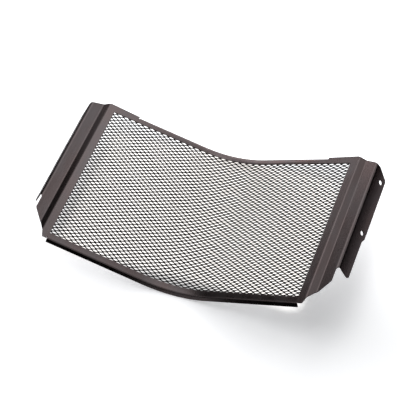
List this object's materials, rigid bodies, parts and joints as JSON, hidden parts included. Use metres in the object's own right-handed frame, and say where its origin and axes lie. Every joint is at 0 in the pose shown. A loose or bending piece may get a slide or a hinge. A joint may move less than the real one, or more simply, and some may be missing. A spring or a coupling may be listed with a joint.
{
  "type": "motorcycle radiator guard",
  "caption": "Shallow V-bent radiator guard: one folded sheet frame with lips, side steps and bolt flanges, and an expanded metal mesh behind its window.",
  "frame": {"origin": "centre of the bounding box's base: the guard lies on its back, and both lips touch the ground at the middle bend", "axes": "+X across the guard to its right, seen from the front; +Y towards its top edge; +Z out of its front"},
  "size_m": [0.4046, 0.2142, 0.0623],
  "materials": {
    "coated_sheet": "satin dark bronze-grey coating",
    "expanded_mesh": "satin black coating"
  },
  "bodies": {
    "root": {"guard_frame": "coated_sheet", "mesh_panel": "expanded_mesh"}
  },
  "joints": []
}
